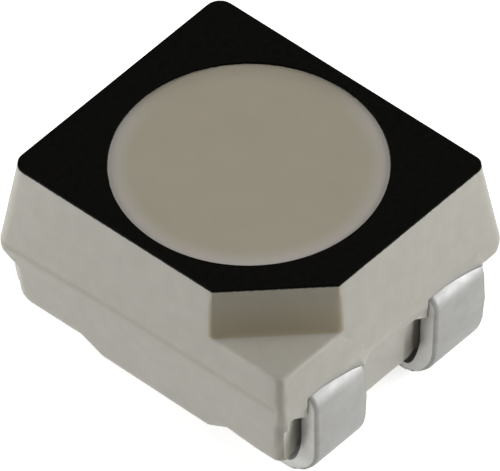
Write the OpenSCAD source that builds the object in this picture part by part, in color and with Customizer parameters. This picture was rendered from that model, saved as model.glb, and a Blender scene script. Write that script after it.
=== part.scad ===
// Surface-mount three-colour LED in a four-lead moulded package with a black printed face.
// Millimetres. The origin is the middle of the footprint on the solder plane, with +Z up.
// The leads come out of the two X sides, and the corner at +X, -Y is cut as the polarity mark.

/* [Package] */
// Height from the solder plane to the printed top face
total_h = 1.89; // [1.85:0.01:1.95]
// Length of the top face along X
top_l = 3.025; // [3.00:0.005:3.06]
// Width of the top face along Y
top_w = 2.645; // [2.63:0.005:2.70]
// Draft of the sides above the parting line, in degrees
upper_draft = 7.25; // [6:0.05:8]
// Height of the parting line, which is also the top of the lead frame
parting_z = 1.04; // [1.02:0.005:1.06]
// Corner radius of the body above the parting line
upper_corner_r = 0.15; // [0.1:0.01:0.2]

/* [Lower body] */
// Half length at the foot of the lead shelf, where the lower wall starts
lower_half_l = 1.525; // [1.5:0.005:1.54]
// Draft of the two short walls, in degrees
end_draft = 2.2; // [1:0.1:5]
// Draft of the two long walls, in degrees
side_draft = 6.8; // [5:0.1:8]
// Corner radius of the body below the parting line
lower_corner_r = 0.18; // [0.14:0.01:0.2]
// Radius of the bottom edges
bottom_edge_r = 0.17; // [0.1:0.01:0.18]
// Height of the two end recesses over the lead feet, taken at the middle
recess_z = 0.235; // [0.2:0.005:0.24]
// Height of the middle of the underside over the solder plane
belly_z = 0.11; // [0.08:0.01:0.14]
// Half length of the middle of the underside, where it meets the recesses
belly_half_l = 0.82; // [0.7:0.01:0.84]
// Distance of that middle part from the package's own middle, along X
belly_x = 0.08; // [0:0.01:0.1]
// Length of the slope from the middle of the underside to a recess
belly_slope = 0.23; // [0.1:0.01:0.25]
// Slope of the whole underside down towards +X, in degrees
underside_slope = 1.0; // [0:0.1:1.5]
// Height of the bottom of the lead shelf's upright band
shelf_band_z = 0.88; // [0.86:0.005:0.9]
// Height where the sloped underside of the lead shelf meets the wall
shelf_root_z = 0.77; // [0.72:0.005:0.78]

/* [Cut corner] */
// Length cut from each edge of the top face
cut_leg = 0.76; // [0.6:0.01:0.8]
// Depth of the cut below the top face
cut_depth = 0.50; // [0.4:0.01:0.6]
// Draft of the cut face, in degrees
cut_draft = 8.5; // [7:0.5:12]

/* [Window] */
// Diameter of the round window
window_d = 2.40; // [2.30:0.01:2.42]
// Diameter of the reflector cup's floor
cup_floor_d = 1.88; // [1.86:0.01:2.0]
// Thickness of the black print
print_t = 0.02; // [0.01:0.005:0.03]
// Dish of the resin surface at its middle
resin_dish = 0.02; // [0.01:0.005:0.04]

/* [Leads] */
// Thickness of the lead frame
lead_t = 0.13; // [0.1:0.01:0.14]
// Width of a lead
lead_w = 0.65; // [0.6:0.01:0.66]
// Distance between the middles of two leads on one side
lead_pitch = 1.54; // [1.5:0.01:1.56]
// Half of the length over the leads
lead_out = 1.70; // [1.69:0.005:1.75]
// Outer radius of the upper bend
upper_bend_r = 0.22; // [0.2:0.005:0.24]
// Outer radius of the lower bend
lower_bend_r = 0.335; // [0.3:0.005:0.36]
// Distance from the middle of the package to a foot's tip
foot_tip = 0.88; // [0.86:0.01:1.0]

/* [Chips and wires] */
// Distance between the middles of two chips
die_pitch = 0.50; // [0.45:0.01:0.52]
// Side of the square red chip
red_die_w = 0.28; // [0.24:0.01:0.3]
// Height of the red chip
red_die_h = 0.17; // [0.15:0.01:0.2]
// Length of the green and blue chips along X
blue_die_l = 0.34; // [0.3:0.01:0.36]
// Width of the green and blue chips along Y
blue_die_w = 0.24; // [0.22:0.01:0.26]
// Height of the green and blue chips
blue_die_h = 0.11; // [0.09:0.01:0.14]
// Thickness of the glue under a chip
glue_t = 0.015; // [0.01:0.005:0.02]
// Diameter of the gold wire
wire_d = 0.025; // [0.02:0.005:0.03]
// Rise of a wire's arch over the lead frame
wire_rise = 0.36; // [0.3:0.01:0.45]

/* [Hidden] */

$fn = 96;
overcut = 0.1;
corner_steps = 8;
edge_steps = 5;
dish_steps = 6;

body_top_z = total_h - print_t;
parting_half_l = top_l / 2 + (total_h - parting_z) * tan(upper_draft);
parting_half_w = top_w / 2 + (total_h - parting_z) * tan(upper_draft);
shelf_corner_r = 0.11;

frame_z = parting_z - lead_t;
lead_y = lead_pitch / 2;
upper_bend_x = lead_out - upper_bend_r;
upper_bend_z = parting_z - upper_bend_r;
lower_bend_x = lead_out - lower_bend_r;

// The lead frame's pads inside the cup: the middle strip carries the chips.
strip_half_l = 0.28;
strip_half_w = 0.85;
pad_x = 0.42;
pad_neck_x = 0.70;
pad_root_x = 0.95;
pad_side_rise = 0.12;
red_pad_low_y = -0.25;
far_pad_low_y = 0.08;
bridge_w = 0.41;

// A pocket gives each lead room to bend where it leaves the moulding.
pocket_reach = 0.3;
pocket_gap = 0.02;
pocket_z = 0.68;

gate_d = 0.42;
gate_depth = 0.03;

// A wire's arch: its knee over the chip, its crown and the lift over its stitch.
wire_sides = 8;
arch_steps = 8;
crown_rise = 0.04;
knee_z = parting_z + wire_rise - crown_rise - wire_d;
stitch_lift = 0.02;
arch_start = 0.12;
arch_end = 0.92;
arch_fall = 2.4;
stitch_half_w = 0.0225;
stitch_half_l = 0.0275;
ball_r = 0.036;
ball_h = 0.022;
ball_foot_r = 0.029;
ball_top_r = 0.025;
ball_neck_h = 0.031;
tilt_step = 0.02;

plastic = [0.70, 0.69, 0.65];
ink = [0.06, 0.06, 0.05];
resin = [0.58, 0.55, 0.50];
tin = [0.80, 0.80, 0.79];
gold = [0.90, 0.70, 0.30];
silver_glue = [0.62, 0.62, 0.60];

// Where the underside changes its height, from +X to -X.
bottom_steps = [
    belly_x + belly_half_l,
    belly_x + belly_half_l - belly_slope,
    belly_x - belly_half_l + belly_slope,
    belly_x - belly_half_l
];

// The round corner of a box in one of its four quarters, anticlockwise seen from above.
function round_corner(half_l, half_w, r, quarter) = [
    for (step = [0 : corner_steps])
        let (
            side_x = (quarter == 0 || quarter == 3) ? 1 : -1,
            side_y = quarter < 2 ? 1 : -1,
            turn = (quarter + step / corner_steps) * 90
        )
        [side_x * (half_l - r) + r * cos(turn), side_y * (half_w - r) + r * sin(turn)]
];

// The outline of a box with round corners, with points on its long sides at the bottom's steps.
function outline(half_l, half_w, r) = concat(
    round_corner(half_l, half_w, r, 0),
    [for (x = bottom_steps) [x, half_w]],
    round_corner(half_l, half_w, r, 1),
    round_corner(half_l, half_w, r, 2),
    [for (i = [len(bottom_steps) - 1 : -1 : 0]) [bottom_steps[i], -half_w]],
    round_corner(half_l, half_w, r, 3)
);

function ring(half_l, half_w, r, z) = [for (p = outline(half_l, half_w, r)) [p[0], p[1], z]];

// Skins a stack of rings with equal numbers of points, from the lowest up.
module loft(rings, floor_faces) {
    n = len(rings[0]);
    last = len(rings) - 1;
    walls = [
        for (level = [0 : last - 1])
            for (i = [0 : n - 1])
                let (a = level * n + i, b = level * n + (i + 1) % n)
                each [[a, a + n, b + n], [a, b + n, b]]
    ];
    top_face = [for (i = [n - 1 : -1 : 0]) last * n + i];
    polyhedron([for (level = rings) each level], concat(floor_faces, [top_face], walls));
}

function flat_floor(n) = [[for (i = [0 : n - 1]) i]];

// The floor of the body's lowest ring, folded across at the bottom's steps.
function folded_floor() =
    let (corner = corner_steps + 1, k = len(bottom_steps), n = 4 * corner + 2 * k, back = 3 * corner + k)
    concat(
        [[for (i = [n - corner - 1 : n + corner]) i % n]],
        [
            for (i = [0 : k - 2])
                [corner + i, corner + i + 1, back + k - 2 - i, back + k - 1 - i]
        ],
        [[for (i = [corner + k - 1 : back]) i]]
    );

// Height of the underside's folds and slope over the recesses' height at the middle.
function bottom_rise(x) =
    let (steps = bottom_steps, depth = recess_z - belly_z)
    -x * tan(underside_slope)
        - lookup(x, [[steps[3], 0], [steps[2], depth], [steps[1], depth], [steps[0], 0]]);

// Lifts a point of the bottom to its height and keeps it on its drafted wall.
function on_bottom(p) = [
    p[0],
    p[1] + sign(p[1]) * bottom_rise(p[0]) * tan(side_draft),
    p[2] + bottom_rise(p[0])
];

// Rings of a rounded bottom edge under walls that lean out as they rise.
function rounded_foot(half_l, half_w, corner_r, z, edge_r) = [
    for (step = [0 : edge_steps])
        let (
            turn = step * 90 / edge_steps,
            inset = edge_r * (1 - sin(turn)),
            rise = edge_r * (1 - cos(turn))
        )
        [
            for (p = ring(
                half_l - inset + rise * tan(end_draft),
                half_w - inset + rise * tan(side_draft),
                corner_r - inset,
                z + rise
            ))
                on_bottom(p)
        ]
];

lower_foot_half_l = lower_half_l - (shelf_root_z - recess_z) * tan(end_draft);
lower_foot_half_w = parting_half_w - (parting_z - recess_z) * tan(side_draft);

function lower_wall_half_w(z) = lower_foot_half_w + (z - recess_z) * tan(side_draft);

function upper_ring(z) = ring(
    top_l / 2 + (total_h - z) * tan(upper_draft),
    top_w / 2 + (total_h - z) * tan(upper_draft),
    upper_corner_r,
    z
);

module moulded_block() {
    loft(concat(
        rounded_foot(lower_foot_half_l, lower_foot_half_w, lower_corner_r, recess_z, bottom_edge_r),
        [
            ring(lower_half_l, lower_wall_half_w(shelf_root_z), lower_corner_r, shelf_root_z),
            ring(parting_half_l, lower_wall_half_w(shelf_band_z), shelf_corner_r, shelf_band_z),
            upper_ring(parting_z),
            upper_ring(body_top_z)
        ]
    ), folded_floor());
}

module reflector_cup() {
    cup_h = body_top_z - parting_z;
    slope = (window_d - cup_floor_d) / 2 / cup_h;
    translate([0, 0, parting_z])
        cylinder(h = cup_h, r1 = cup_floor_d / 2, r2 = cup_floor_d / 2 + slope * cup_h);
}

// The polarity mark: a drafted face at 45 degrees that ends on a flat ledge.
module corner_cut() {
    top_distance = (top_l / 2 + top_w / 2 - cut_leg) / sqrt(2);
    ledge_distance = top_distance + cut_depth * tan(cut_draft);
    ledge_z = total_h - cut_depth;
    above = top_distance - overcut * tan(cut_draft);
    rotate([0, 0, -45])
        rotate([90, 0, 0])
            translate([0, 0, -top_w / 2])
                linear_extrude(top_w)
                    polygon([
                        [ledge_distance, ledge_z],
                        [top_l, ledge_z],
                        [top_l, total_h + overcut],
                        [above, total_h + overcut]
                    ]);
}

// The flat part of each lead, from its pad to its upper bend, for the +X, +Y quarter.
function tongue_points(pad_low_y) = [
    [upper_bend_x, lead_y - lead_w / 2],
    [upper_bend_x, lead_y + lead_w / 2],
    [pad_root_x, lead_y + lead_w / 2],
    [pad_x, lead_y + pad_side_rise],
    [pad_x, pad_low_y],
    [pad_neck_x, pad_low_y],
    [pad_root_x, lead_y - lead_w / 2]
];

module pad_plate(pad_low_y) {
    translate([0, 0, frame_z])
        linear_extrude(lead_t)
            polygon(tongue_points(pad_low_y));
}

// The common pad runs down the middle and reaches its lead by a bridge.
module common_plate() {
    bridge_y = lead_y - lead_w / 2;
    translate([0, 0, frame_z])
        linear_extrude(lead_t)
            polygon([
                [upper_bend_x, bridge_y],
                [upper_bend_x, lead_y + lead_w / 2],
                [pad_root_x, lead_y + lead_w / 2],
                [strip_half_l, bridge_y + bridge_w],
                [-strip_half_l, bridge_y + bridge_w],
                [-strip_half_l, -strip_half_w],
                [strip_half_l, -strip_half_w],
                [strip_half_l, bridge_y]
            ]);
}

// A quarter of a bent strip about a Y axis, starting at a turn above +X.
module quarter_bend(inner_r, outer_r, width, turn) {
    rotate([90, -turn, 0])
        mirror([0, 0, 1])
            rotate_extrude(angle = 90)
                translate([inner_r, 0])
                    square([outer_r - inner_r, width]);
}

// The bent part of a lead: over the edge, down the side and under the body.
module bent_strip() {
    translate([0, lead_y - lead_w / 2, 0]) {
        translate([upper_bend_x, 0, upper_bend_z])
            quarter_bend(upper_bend_r - lead_t, upper_bend_r, lead_w, 0);
        translate([lead_out - lead_t, 0, lower_bend_r])
            cube([lead_t, lead_w, upper_bend_z - lower_bend_r]);
        translate([lower_bend_x, 0, lower_bend_r])
            quarter_bend(lower_bend_r - lead_t, lower_bend_r, lead_w, -90);
        translate([foot_tip, 0, 0])
            cube([lower_bend_x - foot_tip, lead_w, lead_t]);
    }
}

module anode_shape() {
    mirror([0, 1, 0]) {
        common_plate();
        bent_strip();
    }
}

module red_shape() {
    pad_plate(red_pad_low_y);
    bent_strip();
}

module green_shape() {
    mirror([1, 0, 0]) {
        pad_plate(far_pad_low_y);
        bent_strip();
    }
}

module blue_shape() {
    rotate([0, 0, 180]) {
        pad_plate(far_pad_low_y);
        bent_strip();
    }
}

module frame_plates() {
    mirror([0, 1, 0]) common_plate();
    pad_plate(red_pad_low_y);
    mirror([1, 0, 0]) pad_plate(far_pad_low_y);
    rotate([0, 0, 180]) pad_plate(far_pad_low_y);
}

// The moulding lies on the outside of each upper bend and leaves the inside free.
module lead_pocket() {
    width = lead_w + 2 * pocket_gap;
    translate([upper_bend_x, lead_y - width / 2, 0]) {
        translate([0, 0, upper_bend_z])
            quarter_bend(0, upper_bend_r, width, 0);
        translate([0, 0, pocket_z])
            cube([pocket_reach, width, upper_bend_z - pocket_z]);
    }
}

module lead_pockets() {
    for (flip_x = [0, 1])
        for (flip_y = [0, 1])
            mirror([flip_x, 0, 0])
                mirror([0, flip_y, 0])
                    lead_pocket();
}

module housing() {
    color(plastic)
        difference() {
            moulded_block();
            reflector_cup();
            corner_cut();
            frame_plates();
            lead_pockets();
            translate([0, 0, belly_z - overcut])
                cylinder(h = gate_depth + overcut, d = gate_d);
        }
}

module black_face_print() {
    color(ink)
        difference() {
            translate([0, 0, body_top_z])
                linear_extrude(print_t)
                    polygon(outline(top_l / 2, top_w / 2, upper_corner_r));
            translate([0, 0, body_top_z - overcut])
                cylinder(h = print_t + 2 * overcut, d = window_d);
            corner_cut();
        }
}

// The cup's fill, turned from its section, with a surface that dishes towards the middle.
module resin_fill() {
    rotate_extrude()
        polygon(concat(
            [[0, parting_z], [cup_floor_d / 2, parting_z]],
            [
                for (step = [0 : dish_steps])
                    let (share = 1 - step / dish_steps)
                    [share * window_d / 2, body_top_z - resin_dish * (1 - share * share)]
            ]
        ));
}

module encapsulant() {
    color(resin)
        difference() {
            resin_fill();
            red_chip();
            green_chip();
            blue_chip();
            red_chip_glue();
            green_chip_glue();
            blue_chip_glue();
            red_wire();
            green_anode_wire();
            green_cathode_wire();
            blue_anode_wire();
            blue_cathode_wire();
        }
}

module anode_lead() { color(tin) anode_shape(); }
module red_lead() { color(tin) red_shape(); }
module green_lead() { color(tin) green_shape(); }
module blue_lead() { color(tin) blue_shape(); }

chip_z = parting_z + glue_t;

module chip(y, l, w, h) {
    translate([-l / 2, y - w / 2, chip_z])
        cube([l, w, h]);
}

module red_chip() { color("firebrick") chip(0, red_die_w, red_die_w, red_die_h); }
module green_chip() { color("mediumseagreen") chip(die_pitch, blue_die_l, blue_die_w, blue_die_h); }
module blue_chip() { color("royalblue") chip(-die_pitch, blue_die_l, blue_die_w, blue_die_h); }

// A squeezed-out dot of silver-filled glue, rounder than the chip on it.
module glue_dot(y, l, w) {
    spread = 0.03;
    color(silver_glue)
        translate([0, y, parting_z])
            intersection() {
                translate([-l / 2 - spread, -w / 2 - spread, 0])
                    cube([l + 2 * spread, w + 2 * spread, glue_t]);
                cylinder(h = glue_t, r = sqrt(l * l + w * w) / 2 + spread / 2);
            }
}

module red_chip_glue() { glue_dot(0, red_die_w, red_die_w); }
module green_chip_glue() { glue_dot(die_pitch, blue_die_l, blue_die_w); }
module blue_chip_glue() { glue_dot(-die_pitch, blue_die_l, blue_die_w); }

// A point of a wire's arch, as its distance along the floor and its height, for t from 0 to 1.
function arch_point(t, reach) = [
    reach * (arch_start * t + (arch_end - arch_start) * t * t),
    knee_z + crown_rise * sin(90 * min(1, 2 * t))
        - (knee_z + crown_rise - parting_z - stitch_lift) * pow(t, arch_fall)
];

function arch_tilt(t, reach) =
    let (back = arch_point(t - tilt_step, reach), ahead = arch_point(t + tilt_step, reach))
    atan2(ahead[1] - back[1], ahead[0] - back[0]);

// A gold wire from a ball on a chip to a flat stitch on the lead frame, in a vertical plane.
// Each ring is [distance along the floor, height, tilt of the path, half width, half height].
module bond_wire(start, end, start_z) {
    run = [end[0] - start[0], end[1] - start[1]];
    reach = norm(run);
    ahead = run / reach;
    wire_r = wire_d / 2;
    rings = concat(
        [
            [0, start_z, 90, ball_foot_r, ball_foot_r],
            [0, start_z + ball_h / 2, 90, ball_r, ball_r],
            [0, start_z + ball_h, 90, ball_top_r, ball_top_r],
            [0, start_z + ball_neck_h, 90, wire_r, wire_r],
            [0, knee_z, 90, wire_r, wire_r]
        ],
        [
            for (step = [1 : arch_steps])
                let (t = step / arch_steps, p = arch_point(t, reach))
                [p[0], p[1], arch_tilt(t, reach), wire_r, wire_r]
        ],
        [[reach, parting_z, -90, stitch_half_w, stitch_half_l]]
    );
    color(gold)
        loft([
            for (r = rings)
                [
                    for (i = [0 : wire_sides - 1])
                        let (
                            turn = i * 360 / wire_sides,
                            across = r[3] * cos(turn),
                            along = r[4] * sin(turn) * sin(r[2]),
                            up = -r[4] * sin(turn) * cos(r[2])
                        )
                        [
                            start[0] + ahead[0] * (r[0] + along) + ahead[1] * across,
                            start[1] + ahead[1] * (r[0] + along) - ahead[0] * across,
                            r[1] + up
                        ]
                ]
        ], flat_floor(wire_sides));
}

red_top_z = chip_z + red_die_h;
blue_top_z = chip_z + blue_die_h;

contact_x = 0.09;
pad_stitch_x = 0.62;
strip_stitch = [0.12, 0.79];
bridge_stitch = [0.44, -0.64];

module red_wire() { bond_wire([0, 0], [pad_stitch_x, 0], red_top_z); }
module green_anode_wire() { bond_wire([contact_x, die_pitch], strip_stitch, blue_top_z); }
module green_cathode_wire() { bond_wire([-contact_x, die_pitch], [-pad_stitch_x, die_pitch], blue_top_z); }
module blue_anode_wire() { bond_wire([contact_x, -die_pitch], bridge_stitch, blue_top_z); }
module blue_cathode_wire() { bond_wire([-contact_x, -die_pitch], [-pad_stitch_x, -die_pitch], blue_top_z); }

housing();
black_face_print();
encapsulant();
anode_lead();
red_lead();
green_lead();
blue_lead();
red_chip();
green_chip();
blue_chip();
red_chip_glue();
green_chip_glue();
blue_chip_glue();
red_wire();
green_anode_wire();
green_cathode_wire();
blue_anode_wire();
blue_cathode_wire();
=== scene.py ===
import math

import bmesh
import bpy
from mathutils import Matrix, Vector


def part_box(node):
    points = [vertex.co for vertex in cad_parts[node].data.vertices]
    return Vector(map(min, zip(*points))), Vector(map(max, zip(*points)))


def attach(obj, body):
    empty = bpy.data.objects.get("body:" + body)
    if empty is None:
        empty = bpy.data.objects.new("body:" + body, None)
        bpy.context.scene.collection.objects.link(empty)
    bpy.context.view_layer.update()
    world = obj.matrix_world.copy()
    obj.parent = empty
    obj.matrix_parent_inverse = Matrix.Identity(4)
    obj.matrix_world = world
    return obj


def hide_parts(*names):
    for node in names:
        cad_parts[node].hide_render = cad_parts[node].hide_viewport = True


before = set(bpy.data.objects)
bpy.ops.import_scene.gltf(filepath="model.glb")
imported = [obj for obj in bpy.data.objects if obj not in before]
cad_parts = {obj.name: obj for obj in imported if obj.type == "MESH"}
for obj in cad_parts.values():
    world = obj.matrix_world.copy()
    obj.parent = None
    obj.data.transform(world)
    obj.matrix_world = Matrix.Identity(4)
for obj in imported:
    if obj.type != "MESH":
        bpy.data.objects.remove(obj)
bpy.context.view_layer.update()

# Sizes are in millimetres. MM is one of them in metres, and NEAR is the slack of a test for a place
MM = 0.001
NEAR = 0.002

# The moulding above its parting line
TOTAL_H = 1.89
TOP_HALF_L = 1.5125
TOP_HALF_W = 1.3225
UPPER_DRAFT = math.radians(7.25)
PARTING_Z = 1.04
UPPER_CORNER_R = {(1, 1): 0.11, (1, -1): 0.09, (-1, 1): 0.14, (-1, -1): 0.135}
PRINT_T = 0.02
BODY_TOP_Z = TOTAL_H - PRINT_T
PARTING_HALF_L = TOP_HALF_L + (TOTAL_H - PARTING_Z) * math.tan(UPPER_DRAFT)
PARTING_HALF_W = TOP_HALF_W + (TOTAL_H - PARTING_Z) * math.tan(UPPER_DRAFT)

# The moulding under its parting line
LOWER_HALF_L = 1.525
END_DRAFT = math.radians(2.2)
SIDE_DRAFT = math.radians(6.8)
LOWER_CORNER_R = 0.20
SHELF_CORNER_R = {(1, 1): 0.11, (1, -1): 0.09, (-1, 1): 0.11, (-1, -1): 0.11}
BOTTOM_EDGE_R = 0.19
RECESS_Z = 0.235
BELLY_Z = RECESS_Z - 0.12
SHELF_BAND_Z = 0.88
SHELF_ROOT_Z = 0.77
LOWER_FOOT_HALF_L = LOWER_HALF_L - (SHELF_ROOT_Z - RECESS_Z) * math.tan(END_DRAFT)
GATE_R = 0.21
GATE_DEPTH = 0.03

# The corner post under the cut: its foot stands out by a share of what its top does
FRONT_LOWER_R = 0.11
FRONT_POST_REACH = 0.14
FRONT_POST_OUT = 0.07
FRONT_POST_FOOT = 0.1
FRONT_POST_LEAN = 0.46

# The parting line and the bottom edge between the leads
PARTING_DROOP = 0.05
CREASE_HALF_H = 0.05
CREASE_DEPTH = 0.007
LEAD_SIDE_EDGE_R = 0.11
LEAD_SIDE_IN = 0.02
LEAD_SIDE_FLAT_Y = 0.36
LEAD_SIDE_FADE_Y = 0.40

# The cut corner and the cup
CUT_LEG = 0.76
CUT_DEPTH = 0.50
CUT_DRAFT = math.radians(8.5)
CUT_TOP_DISTANCE = (TOP_HALF_L + TOP_HALF_W - CUT_LEG) / math.sqrt(2)
LEDGE_Z = TOTAL_H - CUT_DEPTH
LEDGE_DISTANCE = CUT_TOP_DISTANCE + CUT_DEPTH * math.tan(CUT_DRAFT)
LEDGE_EDGE_R = 0.05
LEDGE_ROOT_R = 0.03
WINDOW_R = 1.20
CUP_FLOOR_R = 0.94
CUP_STEPS = 128
RESIN_DISH = 0.02
DISH_RINGS = (0.97, 0.9, 0.75, 0.5, 0.25)

# The leads
LEAD_T = 0.13
LEAD_W = 0.65
LEAD_Y = 0.77
LEAD_LOW_Y = LEAD_Y - LEAD_W / 2
LEAD_HIGH_Y = LEAD_Y + LEAD_W / 2
LEAD_OUT = 1.70
UPPER_BEND_R = 0.22
LOWER_BEND_R = 0.335
RED_LOWER_BEND_H = 0.40
FOOT_TIP = 0.88
FOOT_T = 0.09
HEEL_H = 0.54
HEEL_REACH = 0.165
HEEL_OUTSIDE_R = 0.25
ROLLOVER = 0.03
EDGE_BREAK = 0.012
UPPER_BEND_X = LEAD_OUT - UPPER_BEND_R
LOWER_BEND_X = LEAD_OUT - LOWER_BEND_R
UPPER_BEND_Z = PARTING_Z - UPPER_BEND_R
FRAME_Z = PARTING_Z - LEAD_T
PAD_ROOT_X = 0.95
PAD_NECK_X = 0.70
PAD_X = 0.42
PAD_TOP_Y = LEAD_Y + 0.12
STRIP_HALF_L = 0.28
STRIP_HALF_W = 0.85
BRIDGE_W = 0.41
RED_PAD_LOW_Y = -0.25
FAR_PAD_LOW_Y = 0.08
SHEAR_TAPER = 0.03
BACK_SET = 0.028
EDGE_SWELL = 0.03
SWELL_Z = 0.56
RED_LEAN = 0.035

# The moulding round the leads: pockets, slots, lips and webs
POCKET_Z = 0.68
POCKET_GAP = 0.006
RECESS_GAP = 0.005
RECESS_X = 1.49
RECESS_OUT_X = 1.8
RECESS_TOP_Z = SHELF_ROOT_Z - 0.03
RECESS_RAMP = 3.0
RECESS_LEAN = 0.03
RECESS_TILT = 0.03
RECESS_ROUND = 0.06
LIP_X = 1.50
LIP_OUT_X = PARTING_HALF_L - 0.001
LIP_LOW_Z = 0.965
LIP_MID_Z = 1.0
LIP_SIDE = 0.03
LIP_RISE = 0.02
LIP_LAP = 0.062
LIP_HANG = 0.08
LIP_NARROW = 0.012
LIP_FADE = {1: 0.012, -1: 0.2}
WEB_X = 1.49
WEB_OUT_X = PARTING_HALF_L - 0.004
WEB_W = 0.15
WEB_LOW_Z = 0.775
WEB_TOP_Z = 0.92
WEB_RISE = 0.09

# Angles between two faces, in radians, from which an edge is one of the cut's rim or one of a strip's four
RIM_ANGLE = 0.35
STRIP_ANGLE = 1.2


# Hand tools: each one works on the part of a piece that is picked

def activate(piece):
    """Makes a piece the only one selected, in object mode."""
    if bpy.context.object and bpy.context.object.mode != "OBJECT":
        bpy.ops.object.mode_set(mode="OBJECT")
    bpy.ops.object.select_all(action="DESELECT")
    piece.select_set(True)
    bpy.context.view_layer.objects.active = piece


def pick(piece, kind, wanted):
    """Opens a piece in edit mode with only its wanted points, edges or faces selected."""
    activate(piece)
    bpy.ops.object.mode_set(mode="EDIT")
    bpy.ops.mesh.select_mode(type=kind)
    bpy.ops.mesh.select_all(action="DESELECT")
    mesh = bmesh.from_edit_mesh(piece.data)
    mesh.normal_update()
    for part in {"VERT": mesh.verts, "EDGE": mesh.edges, "FACE": mesh.faces}[kind]:
        if wanted(part):
            part.select_set(True)
    bmesh.update_edit_mesh(piece.data)


def middle(part):
    """The middle of an edge or a face."""
    return sum((point.co for point in part.verts), Vector()) / len(part.verts)


def level_at(z):
    """A test for edges that lie at one height."""
    return lambda edge: all(abs(point.co.z - z) < NEAR for point in edge.verts)


def faces_up(z):
    """A test for a level face at one height that looks up."""
    return lambda face: face.normal.z > 0.99 and abs(middle(face).z - z) < NEAR


def round_corner(corner, reach):
    """A test for the points of one level that lie round a corner."""
    return lambda point: (
        abs(point.co.z - corner.z) < NEAR
        and abs(point.co.x - corner.x) < reach
        and abs(point.co.y - corner.y) < reach
    )


def stretch(x, y, z=1.0, about=(0, 0, 0)):
    """Stretches what is picked, about one place."""
    bpy.ops.transform.resize(value=(x, y, z), center_override=about)


def slide(x, y, z):
    """Moves what is picked."""
    bpy.ops.transform.translate(value=(x, y, z))


def pull(x, y, z):
    """Extrudes what is picked."""
    bpy.ops.mesh.extrude_region_move(TRANSFORM_OT_translate={"value": (x, y, z)})


def slice_at(piece, place, normal):
    """Adds edges all round a piece where a plane meets it."""
    pick(piece, "FACE", lambda face: True)
    bpy.ops.mesh.bisect(plane_co=place, plane_no=normal)


def in_triangles(piece):
    """Parts all faces of a piece into triangles."""
    pick(piece, "FACE", lambda face: True)
    bpy.ops.mesh.quads_convert_to_tris()
    bpy.ops.object.mode_set(mode="OBJECT")


def soften(piece, wanted, width, steps=3):
    """Rounds the wanted edges of a piece."""
    pick(piece, "EDGE", wanted)
    bpy.ops.mesh.bevel(offset=width, segments=steps, affect="EDGES", clamp_overlap=True)
    bpy.ops.object.mode_set(mode="OBJECT")


def combine(piece, other, operation):
    """Joins another solid to a piece or cuts it away, and removes the other."""
    activate(piece)
    modifier = piece.modifiers.new("combine", "BOOLEAN")
    modifier.object = other
    modifier.operation = operation
    modifier.solver = "EXACT"
    bpy.ops.object.modifier_apply(modifier="combine")
    bpy.data.objects.remove(other, do_unlink=True)


def round_plate(name, half_l, half_w, corner_r, z):
    """A flat plate with round corners, left in edit mode with its face picked."""
    bpy.ops.mesh.primitive_plane_add(size=2, enter_editmode=True)
    plate = bpy.context.object
    plate.name = name
    slide(0, 0, z)
    stretch(half_l, half_w)
    bpy.ops.mesh.bevel(offset=corner_r, segments=8, affect="VERTICES")
    bpy.ops.mesh.select_all(action="SELECT")
    return plate


def block(name, low, high):
    """A box between two corners, left in object mode."""
    size = [b - a for a, b in zip(low, high)]
    bpy.ops.mesh.primitive_cube_add(size=1, enter_editmode=True)
    box = bpy.context.object
    box.name = name
    stretch(*size)
    slide(*[(a + b) / 2 for a, b in zip(low, high)])
    bpy.ops.object.mode_set(mode="OBJECT")
    return box


def close_up(piece):
    """Merges what lies on one point and turns every face outwards."""
    activate(piece)
    bpy.ops.object.mode_set(mode="EDIT")
    bpy.ops.mesh.select_all(action="SELECT")
    bpy.ops.mesh.remove_doubles(threshold=0.0005)
    bpy.ops.mesh.normals_make_consistent(inside=False)
    bpy.ops.object.mode_set(mode="OBJECT")


def mirrored(piece, x, y):
    """Turns a piece into its mirror image across X, Y or both."""
    activate(piece)
    piece.scale = (x, y, 1)
    bpy.ops.object.transform_apply(location=False, rotation=False, scale=True)
    close_up(piece)
    return piece


def hand_over(piece, node, material, smooth_angle=30):
    """Brings a piece from millimetres to metres and sets it in the frame."""
    close_up(piece)
    piece.scale = (MM, MM, MM)
    bpy.ops.object.transform_apply(location=True, rotation=True, scale=True)
    bpy.ops.object.shade_smooth_by_angle(angle=math.radians(smooth_angle))
    piece.data.materials.clear()
    piece.data.materials.append(material)
    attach(piece, "root")
    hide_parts(node)


# Materials

def linear(code):
    """An sRGB hex colour as linear light."""
    parts = [int(code[i:i + 2], 16) / 255 for i in (0, 2, 4)]
    return [p / 12.92 if p <= 0.04045 else ((p + 0.055) / 1.055) ** 2.4 for p in parts] + [1.0]


def add_node(tree, kind, settings, **links):
    """Adds a node. Settings go to its properties or sockets, and links join its sockets to outputs."""
    node = tree.nodes.new(kind)
    for name, value in settings.items():
        if isinstance(name, str) and hasattr(node, name):
            setattr(node, name, value)
        else:
            node.inputs[name].default_value = value
    for name, output in links.items():
        key = int(name[1:]) if name[0] == "_" else name.replace("_", " ")
        tree.links.new(output, node.inputs[key])
    return node


def new_material(name):
    """An empty material with its output, and its tree."""
    material = bpy.data.materials.new(name)
    material.use_nodes = True
    tree = material.node_tree
    tree.nodes.clear()
    return material, tree, add_node(tree, "ShaderNodeOutputMaterial", {})


def finish_material(tree, output, shader):
    """Makes a shader the material's surface."""
    tree.links.new(shader, output.inputs["Surface"])


def ramp(tree, source, stops):
    """A colour ramp with its stops as pairs of place and hex colour."""
    node = add_node(tree, "ShaderNodeValToRGB", {}, Fac=source)
    elements = node.color_ramp.elements
    while len(elements) < len(stops):
        elements.new(0.5)
    for element, (place, code) in zip(elements, stops):
        element.position = place
        element.color = linear(code)
    return node.outputs["Color"]


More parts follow.
